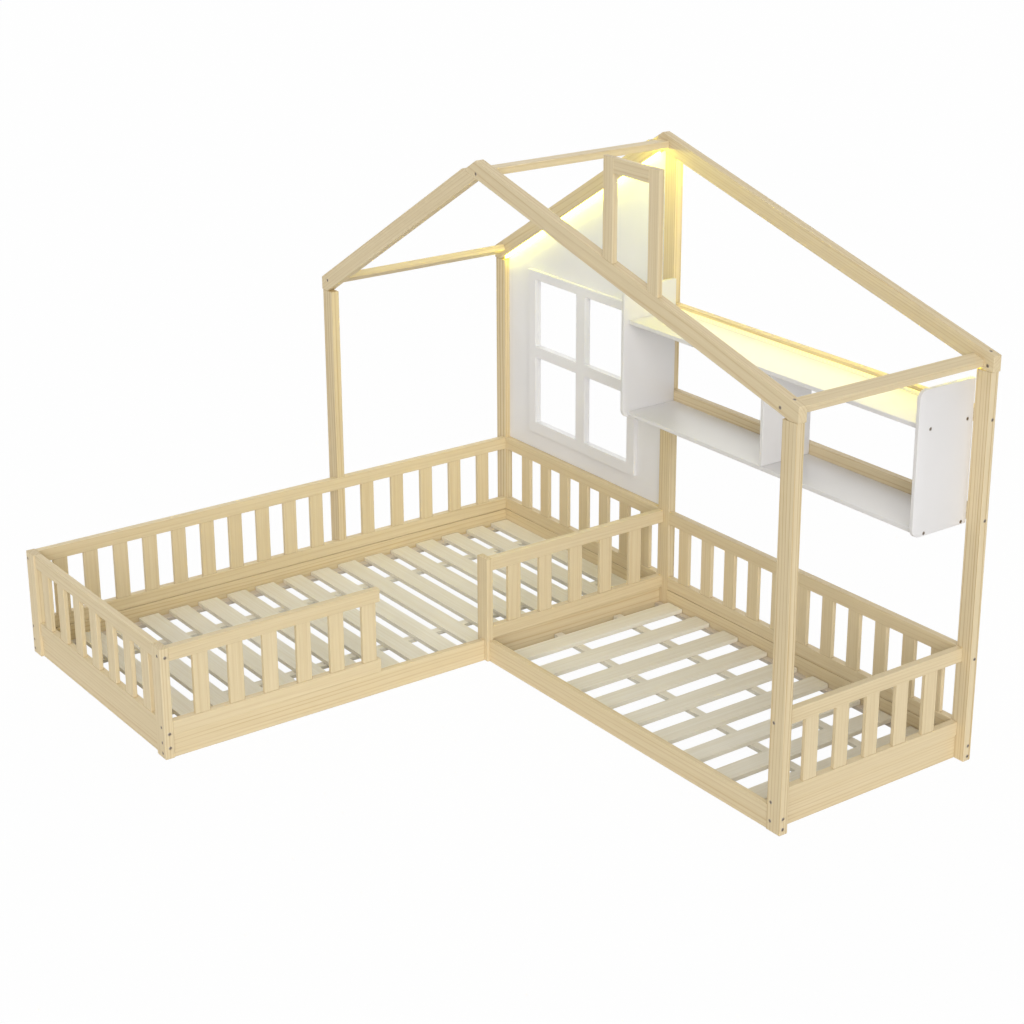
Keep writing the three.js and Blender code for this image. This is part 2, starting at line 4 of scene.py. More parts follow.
import bmesh
import bpy
import numpy as np
from mathutils import Matrix, Vector

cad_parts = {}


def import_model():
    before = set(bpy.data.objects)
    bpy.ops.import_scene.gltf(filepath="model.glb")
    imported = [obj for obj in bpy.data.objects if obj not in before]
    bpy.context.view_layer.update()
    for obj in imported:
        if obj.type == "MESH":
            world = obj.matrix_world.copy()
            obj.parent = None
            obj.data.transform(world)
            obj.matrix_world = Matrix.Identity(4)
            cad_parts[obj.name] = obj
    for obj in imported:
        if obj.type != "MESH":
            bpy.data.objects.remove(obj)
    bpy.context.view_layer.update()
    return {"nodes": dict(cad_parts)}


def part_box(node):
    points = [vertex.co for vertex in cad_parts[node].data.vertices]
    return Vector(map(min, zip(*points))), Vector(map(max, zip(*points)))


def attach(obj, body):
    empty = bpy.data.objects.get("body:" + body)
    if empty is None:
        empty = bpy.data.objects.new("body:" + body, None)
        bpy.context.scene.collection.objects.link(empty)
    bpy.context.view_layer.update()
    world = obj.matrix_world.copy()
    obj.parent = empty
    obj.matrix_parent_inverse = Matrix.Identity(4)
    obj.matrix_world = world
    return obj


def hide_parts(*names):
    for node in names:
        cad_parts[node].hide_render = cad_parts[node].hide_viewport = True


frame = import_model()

MM = 0.001              # metres

# The bed's sizes in millimetres
EDGE = 1.6              # rounding sanded on every bare wooden edge
PAINTED_EDGE = 2.2      # softer rounding of the painted boards
FRAME_EDGE = 1.1        # the thin window frame
RAIL_HEIGHT = 48        # fences
BAR_WIDTH = 54
BAR_THICKNESS = 15
BAR_SETBACK = 2
BAR_BITE = 0.3          # how far each bar's end sinks into its rail
SLAT_WIDTH = 78.5       # slat decks
SLAT_JOINT = 0.3        # joint line between the slats and their supports
SUPPORT_WIDTH = 32
SUPPORT_HEIGHT = 14
HOLE_RADIUS = 6.4       # counterbores of the bolts
HOLE_DEPTH = 1.9
BOLT_RADIUS = 5.6
BOLT_SINK = 0.3         # bolt heads below the wood's face
SOCKET_RADIUS = 2.9
SOCKET_DEPTH = 1.4
HEAD_SIDES = 24         # corners that draw a round head or hole
HEAD_TOP = 0.86         # the head's flat top beside its full width
HEAD_CHAMFER = 0.5      # height of the slope round that top
CUTTER_RISE = 2         # how far a counterbore's cutter stands out of the wood
POST_HALF = 30          # half the width of the house frame's posts
STRIP_THICKNESS = 5     # light strips under the roof's beams
STRIP_WIDTH = 8
STRIP_GAP = 0.3
RAFTER_STRIP = 1064, 2486       # x of the ends of the strip under the long back rafter
RAFTER_MIDDLE = -16             # y of the middle of that rafter's depth
RAFTER_FOOT = 2518.9, 1312.3    # x and z of its underside at the lower end
RIDGE_STRIP = -790, -34         # y of the ends of the strip under the ridge beam
RIDGE_STRIP_X = 978
RIDGE_UNDERSIDE = 1740.8
LEFT_SLOPE = math.radians(31.5)
RIGHT_SLOPE = math.radians(15.2)

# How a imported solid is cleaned, rounded and read
MERGED = 0.01           # points nearer than this, in millimetres, are one
FLAT = math.radians(0.5)        # faces that turn less than this are one
SHARP = math.radians(12)        # edges sharper than this are rounded
SMALL_FACE = 0.00002            # square metres: a smaller face is part of a rounding
LEVEL_SLACK = 0.05      # millimetres, in finding a panel's boards by their corners
WIDTH_SLACK = 0.2

# The wood's pattern: sizes in millimetres, rates across and along the board in turns per metre
RING_MM = 10.5          # growth rings, drawn about three times as wide as real ones, so that they show
FIBRE_MM = 1.8          # fibres, drawn coarse for the same reason
FIBRE_RATE = 12
RING_PROFILE = [(0.0, 0.18), (0.12, 0.02), (0.5, 0.0), (0.72, 0.14), (0.85, 1.0), (0.92, 0.70), (1.0, 0.18)]
RING_UNEVENNESS = 1.6   # how many rings wide and narrow years shift the count by
YEAR_RATE = 45.0        # how fast they take turns
SWAY_RATE = 7, 7, 0.8   # rings that wander from a straight line
SWAY_REACH = 0.03, 0.03, 0      # by this much, in metres
FADING_RATE = 2.3       # where rings show strongly and faintly, beside the wandering
STREAK_RATE = 110, 110, 1.6     # wide pale and dark streaks
FIBRE_SHADE = [0.955, 0.945, 0.92, 1]
STREAK_SHADE = [0.95, 0.93, 0.89, 1]
BOARD_SHADE = [0.965, 0.955, 0.93, 1]   # the darkest board beside the palest
END_GRAIN_AND_JOINT_SHADE = 0.60, 0.52, 0.42, 1         # sawn ends drink more lacquer; the same darkening is also painted shade along the joints where bars and posts end against other boards
CORNERS = 45, 135, 225, 315             # the way from the board's middle to its log's heart, in degrees,
CORNER_PLAY = 20                        # give or take
HEART_REACH = 0.09, 0.2                 # and how far, in metres
LOG_REACH = 20                          # how far up or down the log a board may come from, in metres
LOG_SPREAD = 0.06                       # how much the heart moves between the boards of one panel

# How strongly the rings show on each kind of board, up to 1
FIGURES = {"beam": 0.3, "chimney": 0.4, "rafter": 0.5, "base": 0.55, "shelf": 0.6, "post": 1.0}
PLAIN_POSTS = {"post_corner_left": 0.45, "post_corner_right": 0.45, "post_entry": 0.5}
FENCE_FIGURES = 0.3, 0.2                # rails, bars
DECK_FIGURES = 0.25, 0.22               # supports, slats
LEDGE_FIGURE = 0.4
UPRIGHT = 0, 0, 1                       # the grain of posts
UPRIGHT_END_AND_JOINT_SHADE = 0.3                      # how dark their ends are, up to 1: darker sawn end grain, and painted shade where the posts meet other parts

# Other finishes, in millimetres, and in turns per metre
DRIFT_RATE = 3.0        # slow change in the white boards' tone
PEEL_MM = 3.5           # orange peel of the sprayed lacquer
DIODE_MM = 16.7         # from diode to diode, 60 to a metre
WEAR_MM = 1.5           # turning marks on the bolt heads

# Light
FILL = 0.32             # how bright the white room alone makes a white face
LAMP_ANGLE = 45         # degrees that each softbox spans
SOFTBOXES = {           # azimuth, elevation, and how bright each alone makes a white face turned to it
    "front_softbox": (-34, 22, 0.60),
    "top_softbox": (-34, 85, 0.15),
    "rear_softbox": (150, 25, 0.22),
}
FLOOR_SIZE = 60         # metres
FLOOR_DROP = 0.001      # metres below the bed's feet
FLOOR_WHITE = 0.97      # share of plain white in the floor as seen; the rest takes shadow

# The camera, fitted to the bed's corners and long edges in the photograph
PHOTO = 1024            # pixels each way
FOCAL = 2136.92         # pixels
OPTICAL_CENTRE = 529.4, 437
CAMERA_TURN = 143.8331, -19.4309, -0.0639           # yaw, pitch and roll in degrees
CAMERA_PLACE = 6674.624, -4770.541, 3270.368        # in the maker's layout
SENSOR = 36             # millimetres
FARTHEST = 200          # metres

left_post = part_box("post_back_left")
LAYOUT = Vector((left_post[0].x + POST_HALF * MM, left_post[1].y, 0))


def spot(x, y, z):
    """A place given in the maker's layout: x from the left posts' centreline, y from the bed's back."""
    return LAYOUT + Vector((x, y, z)) * MM


def add(tree, kind, links=None, **settings):
    """Adds one node: settings are its properties, links give its sockets a value or another node's output."""
    made = tree.nodes.new(kind)
    for key, value in settings.items():
        setattr(made, key, value)
    for socket, value in (links or {}).items():
        if isinstance(value, bpy.types.NodeSocket):
            tree.links.new(value, made.inputs[socket])
        else:
            made.inputs[socket].default_value = value
    return made


def linear(code, alpha=1.0):
    """sRGB hex to the linear colour that a socket takes."""
    parts = [int(code[i:i + 2], 16) / 255 for i in (1, 3, 5)]
    return [c / 12.92 if c <= 0.04045 else ((c + 0.055) / 1.055) ** 2.4 for c in parts] + [alpha]


def ramp(tree, factor, stops):
    made = add(tree, "ShaderNodeValToRGB", {"Fac": factor})
    made.color_ramp.elements[0].position = stops[0][0]
    made.color_ramp.elements[1].position = stops[-1][0]
    for place, _ in stops[1:-1]:
        made.color_ramp.elements.new(place)
    for element, (_, value) in zip(made.color_ramp.elements, stops):
        element.color = value if isinstance(value, list) else (value, value, value, 1)
    return made.outputs["Color"]


def maths(tree, operation, *values):
    return add(tree, "ShaderNodeMath", dict(enumerate(values)), operation=operation).outputs[0]


def vector_maths(tree, operation, *values, output="Vector"):
    made = add(tree, "ShaderNodeVectorMath", dict(enumerate(values)), operation=operation)
    return made.outputs[output]


def noise(tree, place, scale, detail=2.0, output="Fac"):
    made = add(tree, "ShaderNodeTexNoise", {"Vector": place, "Scale": scale, "Detail": detail})
    return made.outputs[output]


def stretched(tree, place, rates):
    return add(tree, "ShaderNodeMapping", {"Vector": place, "Scale": rates}).outputs[0]


def mixed(tree, factor, first, second, blend="MIX"):
    made = add(tree, "ShaderNodeMix", {0: factor, 6: first, 7: second}, data_type="RGBA", blend_type=blend)
    return made.outputs[2]


def own(tree, attribute, output="Fac"):
    return add(tree, "ShaderNodeAttribute", attribute_name=attribute).outputs[output]


def new_material(name):
    made = bpy.data.materials.new(name)
    made.use_nodes = True
    tree = made.node_tree
    return made, tree, tree.nodes["Principled BSDF"]


def timber(name, early, late, roughness, shine):
    """Softwood sawn along the grain: pale early wood, thin darker late-wood lines and fine fibres.
    Each board carries its place in its log ("grain", in metres, Z along the board), its own paleness
    ("tint"), how strongly its rings show ("figure") and where its ends are darkened ("end"): darker sawn end
    grain, and painted shade along the joints where bars and posts end against other parts."""
    made, tree, surface = new_material(name)
    grain = own(tree, "grain", "Vector")
    slow = stretched(tree, grain, SWAY_RATE)
    sway = vector_maths(tree, "SUBTRACT", noise(tree, slow, 1.0, 1.5, "Color"), (0.5, 0.5, 0.5))
    bent = vector_maths(tree, "ADD", grain, vector_maths(tree, "MULTIPLY", sway, SWAY_REACH))
    flat = vector_maths(tree, "MULTIPLY", bent, (1, 1, 0))
    radius = vector_maths(tree, "LENGTH", flat, output="Value")
    uneven = add(tree, "ShaderNodeTexNoise", {"W": maths(tree, "MULTIPLY", radius, YEAR_RATE), "Scale": 1.0},
                 noise_dimensions="1D").outputs["Fac"]
    years = maths(tree, "ADD", maths(tree, "MULTIPLY", radius, 1 / (RING_MM * MM)),
                  maths(tree, "MULTIPLY", uneven, RING_UNEVENNESS))
    line = ramp(tree, maths(tree, "FRACT", years), RING_PROFILE)
    fading = noise(tree, slow, FADING_RATE, 1.0)
    strength = maths(tree, "MULTIPLY", ramp(tree, fading, [(0.3, 0.45), (0.65, 1.0)]), own(tree, "figure"))
    lines = maths(tree, "MULTIPLY", line, strength)
    across = 1 / (FIBRE_MM * MM)
    fibre = noise(tree, stretched(tree, grain, (across, across, FIBRE_RATE)), 1.0)
    streak = noise(tree, stretched(tree, grain, STREAK_RATE), 1.0, 1.0)
    wood = mixed(tree, lines, linear(early), linear(late))
    for factor, low, high, darker in ((fibre, 0.3, 0.7, FIBRE_SHADE),
                                      (streak, 0.3, 0.7, STREAK_SHADE),
                                      (own(tree, "tint"), 0.0, 1.0, BOARD_SHADE)):
        wood = mixed(tree, 1.0, wood, ramp(tree, factor, [(low, darker), (high, [1, 1, 1, 1])]), "MULTIPLY")
    # painted shade: the ends are darkened partly as sawn end grain and partly as shade along the joints where
    # bars and posts meet other parts
    sawn = mixed(tree, 1.0, wood, END_GRAIN_AND_JOINT_SHADE, "MULTIPLY")
    wood = mixed(tree, own(tree, "end"), wood, sawn)
    tree.links.new(wood, surface.inputs["Base Color"])
    dull = ramp(tree, fibre, [(0.2, roughness + 0.06), (0.8, roughness - 0.04)])
    tree.links.new(dull, surface.inputs["Roughness"])
    surface.inputs["Specular IOR Level"].default_value = shine
    height = maths(tree, "ADD", maths(tree, "MULTIPLY", fibre, 0.6), maths(tree, "MULTIPLY", lines, -0.5))
    relief = add(tree, "ShaderNodeBump", {"Strength": 0.3, "Distance": 0.0003, "Height": height})
    tree.links.new(relief.outputs[0], surface.inputs["Normal"])
    return made


def painted_board(name, deep, pale):
    """MDF with a sprayed white satin lacquer: even, with the faintest orange peel and slow drift in tone."""
    made, tree, surface = new_material(name)
    place = add(tree, "ShaderNodeTexCoord").outputs["Object"]
    drift = noise(tree, place, DRIFT_RATE)
    tone = ramp(tree, drift, [(0.35, linear(deep)), (0.7, linear(pale))])
    tree.links.new(tone, surface.inputs["Base Color"])
    peel = noise(tree, place, 1 / (PEEL_MM * MM), 1.0)
    gloss = ramp(tree, peel, [(0.3, 0.40), (0.7, 0.46)])
    tree.links.new(gloss, surface.inputs["Roughness"])
    relief = add(tree, "ShaderNodeBump", {"Strength": 0.25, "Distance": 0.0001, "Height": peel})
    tree.links.new(relief.outputs[0], surface.inputs["Normal"])
    return made


def lit_diffuser(name, between, bead, strength):
    """Frosted silicone over a row of warm white diodes: a soft bright line with slightly paler beads."""
    made, tree, surface = new_material(name)
    place = add(tree, "ShaderNodeTexCoord").outputs["Object"]
    along = add(tree, "ShaderNodeSeparateXYZ", {0: place}).outputs["X"]
    wave = maths(tree, "SINE", maths(tree, "MULTIPLY", along, 2 * math.pi / (DIODE_MM * MM)))
    glow = ramp(tree, wave, [(0.0, linear(between)), (1.0, linear(bead))])
    tree.links.new(glow, surface.inputs["Emission Color"])
    tree.links.new(glow, surface.inputs["Base Color"])
    surface.inputs["Emission Strength"].default_value = strength
    surface.inputs["Roughness"].default_value = 0.5
    return made


def plated_steel():
    """Nickel-plated steel bolt heads: smooth grey metal with a faint turned finish, and painted shade
    darkening the socket.
    """
    made, tree, surface = new_material("nickel_plated_steel")
    place = add(tree, "ShaderNodeTexCoord").outputs["Object"]
    wear = noise(tree, place, 1 / (WEAR_MM * MM))
    tone = ramp(tree, wear, [(0.3, linear("#9c9388")), (0.75, linear("#beb5aa"))])
    # painted shade: the socket's points are coloured darker, for the shade that falls inside it
    tone = mixed(tree, own(tree, "deep"), tone, linear("#85796c"))
    tree.links.new(tone, surface.inputs["Base Color"])
    tree.links.new(ramp(tree, wear, [(0.3, 0.28), (0.8, 0.42)]), surface.inputs["Roughness"])
    surface.inputs["Metallic"].default_value = 1.0
    return made


PINE = timber("clear_lacquered_pine", "#e5d5b3", "#c4a673", 0.55, 0.2)
SLAT = timber("sawn_poplar_slat", "#efebdf", "#dfd8c9", 0.68, 0.2)
LEDGE = timber("sawn_birch_ledge", "#dcd3c8", "#c4b8aa", 0.7, 0.3)
SHELF_WHITE = painted_board("sprayed_white_shelf_board", "#dedcdb", "#e3e1e0")
# the wall's white is the shelf's lacquer painted lighter: painted light that makes up for the shade falling
# on the back wall and its window frame
LIGHTENED_WALL_WHITE = painted_board("sprayed_white_wall_board", "#e9e8ea", "#eeedef")
STEEL = plated_steel()
ROOF_GLOW = lit_diffuser("frosted_silicone_roof_strip", "#fdff60", "#ffff6c", 13.0)
SHELF_GLOW = lit_diffuser("frosted_silicone_shelf_strip", "#f6f0c8", "#faf4d2", 0.2)
RIDGE_GLOW = lit_diffuser("frosted_silicone_ridge_strip", "#fdff58", "#ffff64", 48.0)
RAFTER_GLOW = lit_diffuser("frosted_silicone_rafter_strip", "#fff94c", "#fffb58", 31.0)


def turn_to(direction):
    """Rotation that carries the board's length onto Z, so that the grain runs along it."""
    return Vector(direction).rotation_difference(Vector((0, 0, 1))).to_matrix()


def give_grain(mesh, direction, seed, figure, end=0.0, tinted=True):
    """Stores each board's place in its log: the heart lies well outside the board, off one of its corners."""
    draw = random.Random(seed)
    points = np.zeros(len(mesh.vertices) * 3)
    mesh.vertices.foreach_get("co", points)
    points = points.reshape(-1, 3) @ np.array(turn_to(direction)).T
    low, high = points.min(0), points.max(0)
    angle = math.radians(draw.choice(CORNERS) + draw.uniform(-CORNER_PLAY, CORNER_PLAY))
    reach = draw.uniform(*HEART_REACH)
    heart = np.array([math.cos(angle) * reach, math.sin(angle) * reach, draw.uniform(-LOG_REACH, LOG_REACH)])
    grain = mesh.attributes.new("grain", "FLOAT_VECTOR", "POINT")
    grain.data.foreach_set("vector", (points - (low + high) / 2 + heart).astype(np.float32).ravel())
    # the last sliver at each end is marked for darkening: sawn end grain, and painted shade along the joints
    from_end = np.minimum(points[:, 2] - low[2], high[2] - points[:, 2])
    values = {"figure": np.full(len(points), figure), "end": np.where(from_end < EDGE * MM / 2, end, 0.0)}
    if tinted:
        values["tint"] = np.full(len(points), draw.random())
    for name, value in values.items():
        mesh.attributes.new(name, "FLOAT", "POINT").data.foreach_set("value", value.astype(np.float32))


def soften(made, width):
    """Rounds every sharp edge, as sanding does."""
    sharp = [e for e in made.edges if len(e.link_faces) == 2 and e.calc_face_angle() > SHARP]
    bmesh.ops.bevel(made, geom=sharp, offset=width * MM, offset_type="OFFSET", segments=2, profile=0.5,
                    affect="EDGES", clamp_overlap=True)
    for face in made.faces:
        face.smooth = face.calc_area() < SMALL_FACE or min(e.calc_length() for e in face.edges) < width * MM


def to_mesh(made, name):
    mesh = bpy.data.meshes.new(name)
    made.to_mesh(mesh)
    made.free()
    return mesh


def dressed(node, edge):
    """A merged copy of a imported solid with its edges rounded."""
    made = bmesh.new()
    made.from_mesh(frame["nodes"][node].data)
    bmesh.ops.remove_doubles(made, verts=made.verts, dist=MERGED * MM)
    bmesh.ops.dissolve_limit(made, angle_limit=FLAT, verts=made.verts, edges=made.edges)
    soften(made, edge)
    return to_mesh(made, node)


def rounded_board(size, edge):
    """A board centred on the origin."""
    made = bmesh.new()
    bmesh.ops.create_cube(made, size=1, matrix=Matrix.Diagonal((*size, 1)))
    soften(made, edge)
    return to_mesh(made, "board")


def as_object(name, mesh):
    made = bpy.data.objects.new(name, mesh)
    bpy.context.scene.collection.objects.link(made)
    return made


def finished(name, mesh, material, node=None):
    """A piece on the bed: its material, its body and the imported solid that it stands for."""
    piece = as_object(name, mesh)
    mesh.materials.clear()
    mesh.materials.append(material)
    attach(piece, "root")
    if node:
        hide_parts(node)


def group_input(tree, name, kind):
    return tree.interface.new_socket(name, in_out="INPUT", socket_type=kind).identifier


def group_output(tree, geometry):
    tree.interface.new_socket("Geometry", in_out="OUTPUT", socket_type="NodeSocketGeometry")
    tree.links.new(geometry, tree.nodes.new("NodeGroupOutput").inputs[0])


def board_row_tree():
    """Copies one board onto every point, gives each copy its own log, and joins the long boards."""
    tree = bpy.data.node_groups.new("board_row", "GeometryNodeTree")
    ids = {
        "Points": group_input(tree, "Points", "NodeSocketGeometry"),
        "Board": group_input(tree, "Board", "NodeSocketObject"),
        "Long boards": group_input(tree, "Long boards", "NodeSocketObject"),
        "Seed": group_input(tree, "Seed", "NodeSocketInt"),
        "Material": group_input(tree, "Material", "NodeSocketMaterial"),
    }
    entry = tree.nodes.new("NodeGroupInput").outputs
    board = add(tree, "GeometryNodeObjectInfo", {"Object": entry["Board"]})
    rows = add(tree, "GeometryNodeInstanceOnPoints",
               {"Points": entry["Points"], "Instance": board.outputs["Geometry"]})
    farthest = Vector((LOG_SPREAD, LOG_SPREAD, LOG_REACH))
    log = add(tree, "FunctionNodeRandomValue", {0: -farthest, 1: farthest, "Seed": entry["Seed"]},
              data_type="FLOAT_VECTOR")
    tone = add(tree, "FunctionNodeRandomValue", {2: 0.0, 3: 1.0, "Seed": entry["Seed"]}, data_type="FLOAT")
    marked = add(tree, "GeometryNodeStoreNamedAttribute",
                 {"Geometry": rows.outputs[0], "Name": "log", "Value": log.outputs[0]},
                 data_type="FLOAT_VECTOR", domain="INSTANCE")
    toned = add(tree, "GeometryNodeStoreNamedAttribute",
                {"Geometry": marked.outputs[0], "Name": "tint", "Value": tone.outputs[1]},
                data_type="FLOAT", domain="INSTANCE")
    real = add(tree, "GeometryNodeRealizeInstances", {"Geometry": toned.outputs[0]})
    grain = add(tree, "GeometryNodeInputNamedAttribute", {"Name": "grain"}, data_type="FLOAT_VECTOR")
    own_log = add(tree, "GeometryNodeInputNamedAttribute", {"Name": "log"}, data_type="FLOAT_VECTOR")
    moved = vector_maths(tree, "ADD", grain.outputs[0], own_log.outputs[0])
    grained = add(tree, "GeometryNodeStoreNamedAttribute",
                  {"Geometry": real.outputs[0], "Name": "grain", "Value": moved},
                  data_type="FLOAT_VECTOR", domain="POINT")
    long_boards = add(tree, "GeometryNodeObjectInfo", {"Object": entry["Long boards"]})
    both = tree.nodes.new("GeometryNodeJoinGeometry")
    tree.links.new(long_boards.outputs["Geometry"], both.inputs[0])
    tree.links.new(grained.outputs[0], both.inputs[0])
    whole = add(tree, "GeometryNodeRealizeInstances", {"Geometry": both.outputs[0]})
    coated = add(tree, "GeometryNodeSetMaterial",
                 {"Geometry": whole.outputs[0], "Material": entry["Material"]})
    group_output(tree, coated.outputs[0])
    return tree, ids


def bolt_row_tree():
    """Sets one bolt head on every point, turned to face the way that the point's "out" attribute says."""
    tree = bpy.data.node_groups.new("bolt_row", "GeometryNodeTree")
    ids = {
        "Points": group_input(tree, "Points", "NodeSocketGeometry"),
        "Head": group_input(tree, "Head", "NodeSocketObject"),
        "Material": group_input(tree, "Material", "NodeSocketMaterial"),
    }
    entry = tree.nodes.new("NodeGroupInput").outputs
    head = add(tree, "GeometryNodeObjectInfo", {"Object": entry["Head"]})
    out = add(tree, "GeometryNodeInputNamedAttribute", {"Name": "out"}, data_type="FLOAT_VECTOR")
    facing = add(tree, "FunctionNodeAlignRotationToVector", {"Vector": out.outputs[0]}, axis="Z")
    rows = add(tree, "GeometryNodeInstanceOnPoints",
               {"Points": entry["Points"], "Instance": head.outputs["Geometry"],
                "Rotation": facing.outputs[0]})
    real = add(tree, "GeometryNodeRealizeInstances", {"Geometry": rows.outputs[0]})
    plated = add(tree, "GeometryNodeSetMaterial",
                 {"Geometry": real.outputs[0], "Material": entry["Material"]})
    group_output(tree, plated.outputs[0])
    return tree, ids


def plain_mesh(carrier):
    """The object's mesh with its modifiers carried out."""
    carrier.update_tag()
    bpy.context.view_layer.update()
    graph = bpy.context.evaluated_depsgraph_get()
    return bpy.data.meshes.new_from_object(carrier.evaluated_get(graph), preserve_all_data_layers=True,
                                           depsgraph=graph)


def grown(points, tree, ids, outs=None, **inputs):
    """Runs a tree on a cloud of points and keeps the plain mesh."""
    cloud = bpy.data.meshes.new("points")
    cloud.from_pydata(points, [], [])
    if outs:
        out = cloud.attributes.new("out", "FLOAT_VECTOR", "POINT")
        out.data.foreach_set("vector", [c for direction in outs for c in direction])
    carrier = as_object("carrier", cloud)
    modifier = carrier.modifiers.new("rows", "NODES")
    modifier.node_group = tree
    for name, value in inputs.items():
        modifier[ids[name.replace("_", " ")]] = value
    mesh = plain_mesh(carrier)
    bpy.data.objects.remove(carrier)
    return mesh


BOARD_ROW, BOARD_IDS = board_row_tree()
BOLT_ROW, BOLT_IDS = bolt_row_tree()
LENGTHS = {"x": (1, 0, 0), "y": (0, 1, 0), "z": (0, 0, 1)}


def placed_boards(name, boxes, along, figure):
    """The long boards of a panel as one mesh, each with its own log."""
    made = bmesh.new()
    for number, (low, high) in enumerate(boxes):
        board = rounded_board(high - low, EDGE)
        board.transform(Matrix.Translation((low + high) / 2))
        give_grain(board, LENGTHS[along], f"{name} {number}", figure)
        made.from_mesh(board)
    return as_object(name + "_long", to_mesh(made, name + "_long"))


def starts(node, along, height, width):
    """Where the cross boards of a fused panel start, read from its solid's corners at one height:
    a corner starts a board when another one lies a board's width further on."""
    axis = "xyz".index(along)
    found = sorted({round(v.co[axis], 5) for v in frame["nodes"][node].data.vertices
                    if abs(v.co.z - height) < LEVEL_SLACK * MM})
    return [a for a in found if any(abs(b - a - width * MM) < WIDTH_SLACK * MM for b in found)]


def board_panel(name, node, size, along, cross, centres, long_boxes, material, seed, figures):
    """A fused panel: long boards, and cross boards set on the given centres. The two figures are for long
    and for cross boards."""
    template = rounded_board(size, EDGE)
    # the cross boards' ends are darkened in full: end grain, and painted shade where the bars sink into their
    # rails
    give_grain(template, LENGTHS[cross], name, figures[1], end=1.0, tinted=False)
    template_object = as_object(name + "_template", template)
    long_object = placed_boards(name, long_boxes, along, figures[0])
    mesh = grown(centres, BOARD_ROW, BOARD_IDS, Board=template_object, Long_boards=long_object, Seed=seed,
                 Material=material)
    for spare in (template_object, long_object):
        bpy.data.objects.remove(spare)
    finished(name, mesh, material, node)


def fence(node, along, outward, seed):
    """Two rails with upright bars between them, set back from the side, +1 or -1, that is outward."""
    low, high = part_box(node)
    axis, depth = ("xyz".index(along), 1 if along == "x" else 0)
    rail = RAIL_HEIGHT * MM
    lower = low.copy(), Vector((high.x, high.y, low.z + rail))
    upper = Vector((low.x, low.y, high.z - rail)), high.copy()
    face = high[depth] if outward > 0 else low[depth]
    middle = face - outward * (BAR_SETBACK + BAR_THICKNESS / 2) * MM
    centres = []
    for start in starts(node, along, low.z + rail, BAR_WIDTH):
        centre = Vector((0, 0, (low.z + high.z) / 2))
        centre[axis] = start + BAR_WIDTH * MM / 2
        centre[depth] = middle
        centres.append(centre)
    size = Vector((0, 0, high.z - low.z - 2 * rail + 2 * BAR_BITE * MM))
    size[axis] = BAR_WIDTH * MM
    size[depth] = BAR_THICKNESS * MM
    board_panel("pine_" + node, node, size, along, "z", centres, [lower, upper], PINE, seed,
                FENCE_FIGURES)


def deck(node, along, seed):
    """Slats on two long supports; along is the way that the supports run."""
    low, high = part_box(node)
    cross = "y" if along == "x" else "x"
    axis, span = "xyz".index(along), "xyz".index(cross)
    support_top = low.z + SUPPORT_HEIGHT * MM
    runs = []
    for start in starts(node, cross, low.z, SUPPORT_WIDTH):
        a, b = low.copy(), high.copy()
        a[span], b[span] = start, start + SUPPORT_WIDTH * MM
        b.z = support_top
        runs.append((a, b))
    thickness = high.z - support_top - SLAT_JOINT * MM
    centres = []
    for start in starts(node, along, high.z, SLAT_WIDTH):
        centre = (low + high) / 2
        centre[axis] = start + SLAT_WIDTH * MM / 2
        centre.z = high.z - thickness / 2
        centres.append(centre)
    size = high - low
    size[axis] = SLAT_WIDTH * MM
    size.z = thickness
    board_panel("poplar_" + node, node, size, along, cross, centres, runs, SLAT, seed,
                DECK_FIGURES)


for seed, (node, along, outward) in enumerate([
    ("fence_left", "y", 1), ("fence_front", "x", -1), ("fence_entry", "y", 1), ("fence_divider", "y", 1),
    ("fence_back_side_bed", "x", -1), ("fence_back_house_bed", "x", -1), ("fence_end", "y", 1),
]):
    fence(node, along, outward, seed)
deck("slats_side_bed", "y", seed=20)
deck("slats_house_bed", "x", seed=21)


def bolt_head():
    """A low round head with a hexagonal socket, facing up; the wood's face is at 0, just above its top."""
    made = bmesh.new()
    top = -BOLT_SINK
    rings = []
    for radius, height, hexagon in [
        (BOLT_RADIUS, -HOLE_DEPTH, False),
        (BOLT_RADIUS, top - HEAD_CHAMFER, False),
        (BOLT_RADIUS * HEAD_TOP, top, False),
        (SOCKET_RADIUS, top, True),
        (SOCKET_RADIUS, top - SOCKET_DEPTH, True),
    ]:
        ring = []
        for step in range(HEAD_SIDES):
            angle = 2 * math.pi * step / HEAD_SIDES
            reach = radius
            if hexagon:
                reach = radius * math.cos(math.pi / 6) / math.cos(angle % (math.pi / 3) - math.pi / 6)
            x, y = reach * math.cos(angle), reach * math.sin(angle)
            ring.append(made.verts.new((x * MM, y * MM, height * MM)))
        rings.append(ring)
    for lower, upper in zip(rings, rings[1:]):
        for i in range(HEAD_SIDES):
            j = (i + 1) % HEAD_SIDES
            made.faces.new((lower[i], lower[j], upper[j], upper[i]))
    made.faces.new(rings[-1])
    made.faces.new(list(reversed(rings[0])))
    bmesh.ops.recalc_face_normals(made, faces=made.faces)
    head = to_mesh(made, "bolt_head")
    # marks the socket's points for the painted shade in the bolt's material
    deep = [1.0 if v.co.xy.length < (SOCKET_RADIUS + WIDTH_SLACK) * MM else 0.0 for v in head.vertices]
    head.attributes.new("deep", "FLOAT", "POINT").data.foreach_set("value", deep)
    return head


